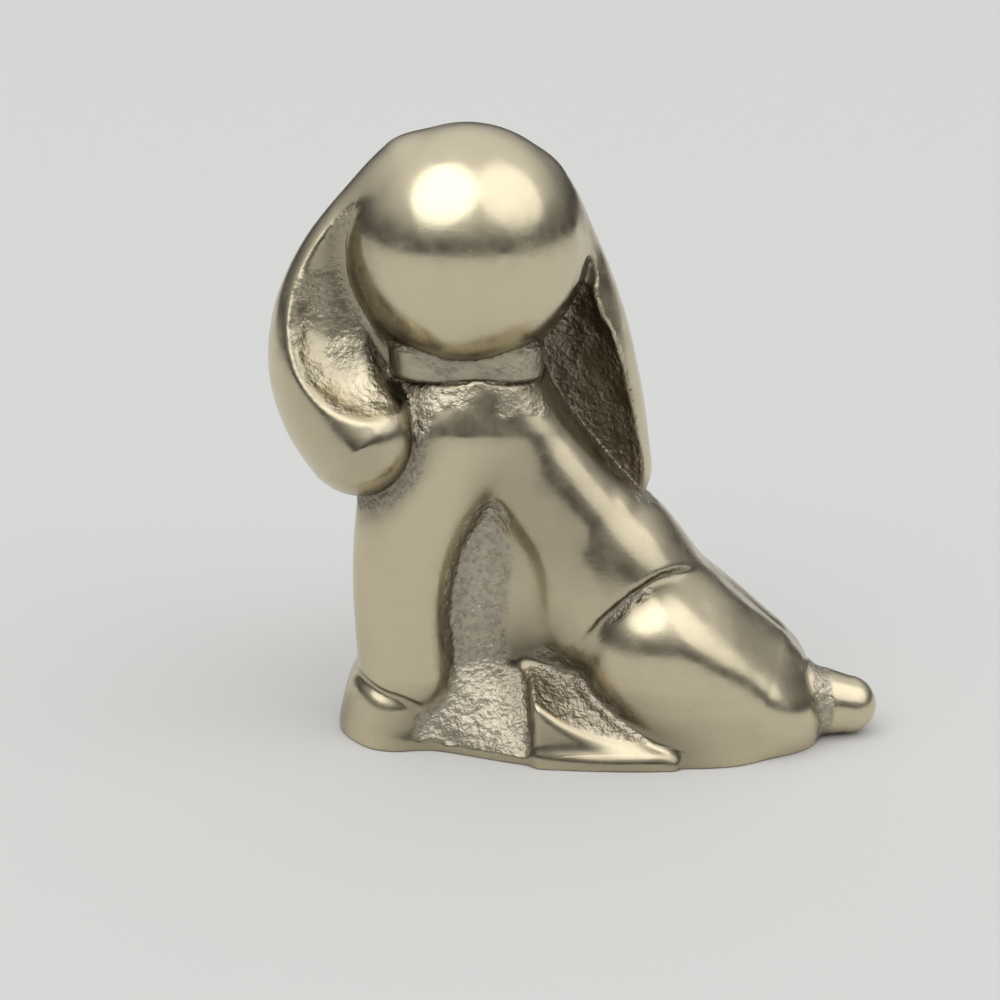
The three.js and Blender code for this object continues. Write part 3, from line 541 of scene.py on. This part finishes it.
def surface(field, low, high):
    """Points and quads of the surface between two corners, one point to a cell that it crosses."""
    cells = np.ceil((high - low) / CELL).astype(int)
    values = sampled(field, low, cells)
    inside = values < 0
    shape = np.array(values.shape) - 1
    window = [tuple(slice(c[a], c[a] + shape[a]) for a in range(3)) for c in CORNERS]
    filled = sum(inside[w].astype(np.int8) for w in window)
    crossed = np.stack(np.nonzero((filled > 0) & (filled < len(CORNERS))))
    corner_values = [values[tuple(crossed + c[:, None])] for c in CORNERS]
    total, count = np.zeros(crossed.shape), np.zeros(crossed.shape[1])
    for a, b in EDGES:
        va, vb = corner_values[a], corner_values[b]
        cut = (va < 0) != (vb < 0)
        share = np.where(cut, va / np.where(cut, va - vb, 1), 0)
        total += cut * (CORNERS[a][:, None] + share * (CORNERS[b] - CORNERS[a])[:, None])
        count += cut
    points = (crossed + total / count) * CELL + low[:, None]
    ids = np.full(shape, -1)
    ids[tuple(crossed)] = np.arange(crossed.shape[1])
    quads = []
    for axis in range(3):
        u, v = (axis + 1) % 3, (axis + 2) % 3
        before = [slice(1, -1)] * 3
        before[axis] = slice(0, -1)
        after = list(before)
        after[axis] = slice(1, None)
        into, out_of = inside[tuple(before)], inside[tuple(after)]
        for leaving in (True, False):
            cell = np.stack(np.nonzero((into == leaving) & (out_of != leaving)))
            cell[u] += 1
            cell[v] += 1
            ring = []
            for du, dv in ((1, 1), (0, 1), (0, 0), (1, 0)):
                corner = cell.copy()
                corner[u] -= du
                corner[v] -= dv
                ring.append(ids[tuple(corner)])
            quads.append(np.stack(ring if leaving else ring[::-1], 1))
    return points.astype(np.float32), np.concatenate(quads)


def relaxed(field, points, quads):
    """Evens out the quads: each point moves along the surface towards its neighbours' middle."""
    total, count = np.zeros(points.shape), np.bincount(quads.ravel(), minlength=points.shape[1])
    for axis in range(3):
        middles = points[axis][quads].mean(1)
        weights = np.repeat(middles, quads.shape[1])
        total[axis] = np.bincount(quads.ravel(), weights, points.shape[1])
    move = total / np.maximum(count, 1) - points
    slope = slope_of(field, points)[1]
    normal = slope / np.maximum(length(*slope), TINY)
    move -= (move * normal).sum(0) * normal
    return (points + EVENNESS * move).astype(np.float32)


# Finish: where the polishing wheel didn't reach, the casting keeps its rough skin

LATTICE_SEED = 7
LATTICE_SIDE = 64
LATTICE = np.random.default_rng(LATTICE_SEED).uniform(-1, 1, (LATTICE_SIDE,) * 3)

# Places of cast skin in millimetres: steps are (start, end), zones are (start, end, soft edge)
EAR_METAL = (0.3, 1.0)
EAR_HOLLOW = (0.0, 0.5)
TRUNK_TOP_Z = (44.4, 45)
BESIDE_EAR = (0.4, 0.8, 2.0)
OFF_EAR = (0.1, 0.4)
COLLAR_METAL = (0.2, 0.8)
THROAT_Z = (41, 45, 2.5)
THROAT_REACH = (3, 5)
BELLY_X = (-13.6, -8.5, 2.5)
BELLY_Z = (8, 30, 2)
BELLY_SIDE = (7.4, 8.4)
BANK_METAL = (0.1, 0.6)
BANK_X = (-17, 9, 3)
BANK_FOOT_Z = (0.8, 1.6)
BANK_TOE_X = (-5.5, -4)
BANK_WALL = (-2.0, -1.0)
PAW_METAL = (0.1, 0.6)
PAW_TOP_WALL = (-1.0, -0.4)
PAW_TOP_X = (HIND_PAW_TOE_X - 5, 8, 2)
TAIL_SEAM_X = (29.5, 31, 0.8)
TAIL_SEAM_REACH = (0.4, 1.6)
FLOOR_Z = (0.1, 0.8)

# How far out the space over a point is felt for, and the wavelength of the skin's ragged edge
REACHES = (1.5, 4.5, 9)
SKIN_RAG_LENGTH = 2.4

# Weights and steps of shares from 0 to 1
# How much the closed space at each reach adds to the painted shade in recesses
RECESS_SHADE_WEIGHTS = (0.2, 0.35, 0.45)
EAR_OPEN_LOSS = 0.5
COLLAR_SKIN = 0.5
THROAT_SKIN = 0.5
CREASE_SKIN = 0.7
CREASE_OPENNESS = (0.15, 0.6)
DEEP_OPENNESS = (0.2, 0.5)
SKIN_EDGE = (0.25, 0.8)
SKIN_RAGGEDNESS = 0.3

# Relief of the cast skin and of the polished metal: (height, wavelength) in millimetres
GRAIN = ((0.15, 1.6), (0.10, 0.85))
WAVES = ((0.05, 5.0), (0.012, 2.0))


def noise(p, wavelength):
    """Smooth random values between -1 and 1, with about one bump to a wavelength."""
    q = p / wavelength
    base = np.floor(q).astype(int)
    t = smooth(q - base, 0, 1)
    value = 0
    for corner in CORNERS:
        weight = np.prod(np.where(corner[:, None], t, 1 - t), 0)
        value = value + weight * LATTICE[tuple((base + corner[:, None]) % LATTICE_SIDE)]
    return value


def openness(p, normal, reach):
    """1 where the space over a point is free, and less inside a hollow or a crease."""
    return np.clip(figure(p + normal * reach)[0] / reach, 0, 1)


def within(value, start, end, soft):
    """1 between start and end, falling to 0 over the soft distance outside them."""
    return smooth(value, start - soft, start) * (1 - smooth(value, end, end + soft))


def relief(p, layers):
    """Layers of noise, each (height, wavelength), added up."""
    return sum(height * noise(p, wavelength) for height, wavelength in layers)


def finish_of(p, normal):
    """How much cast skin is left at each point and how recessed it is, both from 0 to 1. The
    recess share is painted into the material's colour as shade.
    """
    x, y, z = p
    side = np.abs(y)
    own = figure(p)[1]
    tight, wide, far = (openness(p, normal, reach) for reach in REACHES)
    ears = np.minimum(own["left_ear"], own["right_ear"])
    hollow = np.minimum(left_hollow(p), right_hollow(p))
    in_ear = (1 - smooth(ears, *EAR_METAL)) * (1 - smooth(hollow, *EAR_HOLLOW))
    in_ear = in_ear * (1 - EAR_OPEN_LOSS * wide)
    on_trunk = 1 - smooth(z, *TRUNK_TOP_Z)
    beside_ear = on_trunk * within(ears, *BESIDE_EAR) * smooth(ears, *OFF_EAR)
    collar = COLLAR_SKIN * (1 - smooth(own["collar"], *COLLAR_METAL))
    throat = THROAT_SKIN * within(z, *THROAT_Z) * (1 - smooth(own["collar"], *THROAT_REACH))
    belly = within(x, *BELLY_X) * within(z, *BELLY_Z) * (1 - smooth(side, *BELLY_SIDE))
    wall = side + HIND_PAW_LEAN * z - HIND_PAW_SIDE - HIND_PAW_SPLAY * (x - HIND_PAW_TOE_X)
    bank = (1 - smooth(ground_form(p), *BANK_METAL)) * within(x, *BANK_X) * smooth(z, *BANK_FOOT_Z)
    bank = bank * (1 - smooth(x, *BANK_TOE_X) * smooth(wall, *BANK_WALL))
    on_paw = 1 - smooth(hind_paw_form((x, side, z), 1), *PAW_METAL)
    paw_top = on_paw * (1 - smooth(wall, *PAW_TOP_WALL)) * within(x, *PAW_TOP_X)
    seam = within(x, *TAIL_SEAM_X) * (1 - smooth(own["tail"], *TAIL_SEAM_REACH))
    crease = CREASE_SKIN * (1 - smooth(tight, *CREASE_OPENNESS))
    deep = 1 - smooth(wide, *DEEP_OPENNESS)
    skin = np.maximum.reduce(
        [in_ear, beside_ear, collar, throat, belly, bank, paw_top, seam, crease, deep])
    skin = smooth(skin + SKIN_RAGGEDNESS * noise(p, SKIN_RAG_LENGTH), *SKIN_EDGE)
    # The recess share: how enclosed a point is, which the material paints as shade
    open_share = sum(w * o for w, o in zip(RECESS_SHADE_WEIGHTS, (tight, wide, far)))
    return skin, np.clip(1 - open_share, 0, 1)


# From the sculpting frame to the frame of the CAD part
collar_low, collar_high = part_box("collar")
SHIFT = np.array([
    (collar_low.x + collar_high.x) / 2 / MM - NECK_X,
    (collar_low.y + collar_high.y) / 2 / MM,
    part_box("body")[0].z / MM,
])


def casting(name, material, slot):
    """Meshes one casting, gives it its finish and puts it in place of the CAD part's node."""
    low, high = (np.array(corner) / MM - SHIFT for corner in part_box(name))
    field = casting_field(name)
    points, quads = surface(field, low - MARGIN, high + MARGIN)
    points = settled(field, points, 1)
    points = relaxed(field, points, quads)
    points = settled(field, points, SETTLE_STEPS)
    slope = slope_of(field, points)[1]
    normal = slope / np.maximum(length(*slope), TINY)
    skin, recess_shade = finish_of(points, normal)
    lift = skin * relief(points, GRAIN) + (1 - skin) * relief(points, WAVES)
    points = points + normal * (lift * smooth(points[2], *FLOOR_Z))
    mesh = bpy.data.meshes.new(name + "_cast")
    mesh.from_pydata(((points.T + SHIFT) * MM).tolist(), [], quads.tolist())
    mesh.shade_smooth()
    # The recess share goes on the mesh for the material's painted shade
    for label, values in (("cast_skin", skin), ("recess_shade", recess_shade)):
        mesh.attributes.new(label, "FLOAT", "POINT").data.foreach_set("value", values)
    piece = bpy.data.objects.new(name + "_cast", mesh)
    bpy.context.scene.collection.objects.link(piece)
    mesh.materials.append(material)
    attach(piece, "root")
    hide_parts(name)


# Materials

class Tree:
    """Builds a material's node tree. An input is a number, a vector or another node's output."""

    def __init__(self, name):
        self.material = bpy.data.materials.new(name)
        self.material.use_nodes = True
        self.tree = self.material.node_tree
        self.shader = self.tree.nodes["Principled BSDF"]

    def node(self, kind, inputs, **settings):
        made = self.tree.nodes.new("ShaderNode" + kind)
        for key, value in settings.items():
            setattr(made, key, value)
        self.feed(made, inputs)
        return made

    def feed(self, node, inputs):
        for key, value in inputs.items():
            if isinstance(value, bpy.types.NodeSocket):
                self.tree.links.new(value, node.inputs[key])
            else:
                node.inputs[key].default_value = value

    def value_of(self, label):
        return self.node("Attribute", {}, attribute_name=label).outputs["Fac"]

    def mix(self, share, a, b):
        """Between two numbers, by a share from 0 to 1."""
        return self.node("Mix", {"Factor": share, "A": a, "B": b}).outputs["Result"]

    def blend(self, share, a, b):
        """Between two colours, by a share from 0 to 1."""
        made = self.node("Mix", {"Factor": share, "A": a, "B": b}, data_type="RGBA")
        return made.outputs["Result"]

    def ramp(self, value, start, end, low, high):
        """From low at the start value to high at the end value, and level outside them."""
        made = self.node("MapRange", {
            "Value": value, "From Min": start, "From Max": end, "To Min": low, "To Max": high,
        })
        return made.outputs["Result"]

    def times(self, a, b):
        """The product of two numbers."""
        return self.node("Math", {0: a, 1: b}, operation="MULTIPLY").outputs[0]

    def grain(self, wavelength, detail, stretch=(1, 1, 1), turn=(0, 0, 0)):
        """Noise with about one bump to a wavelength in millimetres."""
        place = self.node("TexCoord", {}).outputs["Object"]
        scale = tuple(1 / (s * wavelength * MM) for s in stretch)
        place = self.node("Mapping", {"Vector": place, "Rotation": turn, "Scale": scale})
        made = self.node("TexNoise", {"Vector": place.outputs[0], "Scale": 1.0, "Detail": detail})
        return made.outputs["Fac"]

    def bump(self, height, share, depth, below=None):
        """Relief of a depth in millimetres, weighted by a share from 0 to 1."""
        made = self.node("Bump", {"Height": height, "Strength": share, "Distance": depth * MM})
        if below:
            self.feed(made, {"Normal": below})
        return made.outputs["Normal"]


# Colours of tarnish, of dirt in the cast skin's pits and of the painted shade in recesses, and how
# much of each shows where
BROWNED = (0.55, 0.46, 0.30, 1)
BROWNED_SHARE = 0.3
PIT_DIRT = (0.25, 0.21, 0.15, 1)
PIT_SHARE = 0.4
PIT_RANGE = (0.40, 0.54)
# Painted shade: a near-black colour laid over the recesses, weaker on cast skin
DEEP_SHADE_COLOUR = (0.11, 0.09, 0.065, 1)
DEEP_SHADE_SHARE = 0.85
DEEP_SHADE_RANGE = (0.07, 0.55)
DEEP_SHADE_ON_SKIN = 0.6
SMEAR_RANGE = (0.3, 0.7)
SMEAR_EXTRA_ROUGHNESS = 0.12
SKIN_ROUGHNESS = 0.32

# Noise is (wavelength, detail), with wavelengths and depths in millimetres and turns in radians
CLOUDS = (6, 3)
PITS = (0.7, 4)
SMEARS = (2.2, 4)
SCRATCHES = (0.5, 3)
SKIN_GRAIN = (0.6, 4)
SCRATCH_STRETCH = (14, 1, 1)
SCRATCH_TURNS = ((0.3, 0.2, 0.7), (0.2, 1.1, -0.8))
SCRATCH_DEPTH = 0.004
SKIN_GRAIN_DEPTH = 0.32


def brass_material(name, polished, cast, roughness):
    """Brass with a polished and a cast colour, smears, fine scratches, dirt in the pits of its
    cast skin and painted shade in its recesses.
    """
    t = Tree(name)
    skin, recess_shade = t.value_of("cast_skin"), t.value_of("recess_shade")
    bare = t.node("Math", {0: 1.0, 1: skin}, operation="SUBTRACT").outputs[0]
    colour = t.blend(skin, (*polished, 1), (*cast, 1))
    colour = t.blend(t.mix(t.grain(*CLOUDS), 0.0, BROWNED_SHARE), colour, BROWNED)
    pits = t.times(t.ramp(t.grain(*PITS), *PIT_RANGE, PIT_SHARE, 0.0), skin)
    colour = t.blend(pits, colour, PIT_DIRT)
    # Painted shade: the colour darkens towards near black the more recessed a point is, less on
    # cast skin
    deep = t.ramp(recess_shade, *DEEP_SHADE_RANGE, 0.0, DEEP_SHADE_SHARE)
    deep = t.times(deep, t.ramp(skin, 0.0, 1.0, 1.0, DEEP_SHADE_ON_SKIN))
    colour = t.blend(deep, colour, DEEP_SHADE_COLOUR)
    smeared = roughness + SMEAR_EXTRA_ROUGHNESS
    smears = t.ramp(t.grain(*SMEARS), *SMEAR_RANGE, roughness, smeared)
    surface_relief = None
    for turn in SCRATCH_TURNS:
        scratches = t.grain(*SCRATCHES, SCRATCH_STRETCH, turn)
        surface_relief = t.bump(scratches, bare, SCRATCH_DEPTH, surface_relief)
    t.feed(t.shader, {
        "Base Color": colour,
        "Metallic": 1.0,
        "Roughness": t.mix(skin, smears, SKIN_ROUGHNESS),
        "Normal": t.bump(t.grain(*SKIN_GRAIN), skin, SKIN_GRAIN_DEPTH, surface_relief),
    })
    return t.material


polished_brass = brass_material(
    "polished_brass", polished=(0.68, 0.61, 0.44), cast=(0.55, 0.505, 0.40), roughness=0.17)
body_brass = brass_material(
    "body_brass", polished=(0.66, 0.59, 0.425), cast=(0.54, 0.495, 0.40), roughness=0.19)
collar_brass = brass_material(
    "collar_brass", polished=(0.58, 0.53, 0.40), cast=(0.42, 0.39, 0.32), roughness=0.28)

for name, material, slot in (
    ("head", polished_brass, "polished_brass"),
    ("left_ear", polished_brass, "polished_brass"),
    ("right_ear", polished_brass, "polished_brass"),
    ("collar", collar_brass, "collar_brass"),
    ("body", body_brass, "body_brass"),
    ("left_hind_leg", body_brass, "body_brass"),
    ("right_hind_leg", body_brass, "body_brass"),
    ("tail", body_brass, "body_brass"),
):
    casting(name, material, slot)


# Studio, with the floor's radius in metres

FLOOR_RADIUS = 8.0
FLOOR_SIDES = 64
FLOOR_COLOUR = (0.62, 0.62, 0.61, 1)
FLOOR_ROUGHNESS = 0.8

# The world's grey by the height of a direction: (height, grey) at the ends of the ramp
SKY = ((0.05, 0.07), (0.8, 0.85))


def floor():
    """A wide pale disc."""
    mesh = bpy.data.meshes.new("floor")
    turns = [2 * math.pi * i / FLOOR_SIDES for i in range(FLOOR_SIDES)]
    corners = [(FLOOR_RADIUS * math.cos(a), FLOOR_RADIUS * math.sin(a), 0) for a in turns]
    mesh.from_pydata(corners, [], [list(range(FLOOR_SIDES))])
    material = bpy.data.materials.new("pale_floor")
    material.use_nodes = True
    shader = material.node_tree.nodes["Principled BSDF"]
    shader.inputs["Base Color"].default_value = FLOOR_COLOUR
    shader.inputs["Roughness"].default_value = FLOOR_ROUGHNESS
    mesh.materials.append(material)
    made = bpy.data.objects.new("floor", mesh)
    bpy.context.scene.collection.objects.link(made)


floor()


def soft_sun(name, turn, elevation, spread, strength):
    """A broad soft lamp, far away."""
    data = bpy.data.lights.new(name, "SUN")
    data.angle = math.radians(spread)
    data.energy = strength
    made = bpy.data.objects.new(name, data)
    bpy.context.scene.collection.objects.link(made)
    made.rotation_euler = (math.radians(90 - elevation), 0, math.radians(turn))


soft_sun("key", turn=-35, elevation=55, spread=60, strength=1.1)
soft_sun("fill", turn=65, elevation=45, spread=60, strength=0.6)

world = bpy.data.worlds.new("studio")
world.use_nodes = True
nodes, links = world.node_tree.nodes, world.node_tree.links
upwards = nodes.new("ShaderNodeSeparateXYZ")
links.new(nodes.new("ShaderNodeTexCoord").outputs["Generated"], upwards.inputs[0])
ramp = nodes.new("ShaderNodeValToRGB")
links.new(upwards.outputs["Z"], ramp.inputs[0])
ramp.color_ramp.interpolation = "EASE"
for element, (height, grey) in zip(ramp.color_ramp.elements, SKY):
    element.position = height
    element.color = (grey, grey, grey, 1)
links.new(ramp.outputs[0], nodes["Background"].inputs["Color"])
bpy.context.scene.world = world

# Camera: the photograph's view, with its target and distance in the sculpting frame
CAMERA_TARGET = (-8.3, 0.0, 28.4)
CAMERA_DISTANCE = 238
CAMERA_ELEVATION = 17
CAMERA_LENS = 72
CAMERA_SENSOR = 36
camera_data = bpy.data.cameras.new("camera")
camera_data.lens = CAMERA_LENS
camera_data.sensor_width = CAMERA_SENSOR
camera = bpy.data.objects.new("camera", camera_data)
bpy.context.scene.collection.objects.link(camera)
elevation = math.radians(CAMERA_ELEVATION)
aim = Vector((np.array(CAMERA_TARGET) + SHIFT) * MM)
back = Vector((0, -math.cos(elevation), math.sin(elevation)))
camera.location = aim + back * CAMERA_DISTANCE * MM
camera.rotation_euler = (-back).to_track_quat("-Z", "Y").to_euler()
bpy.context.scene.camera = camera
bpy.context.scene.view_settings.view_transform = "Standard"
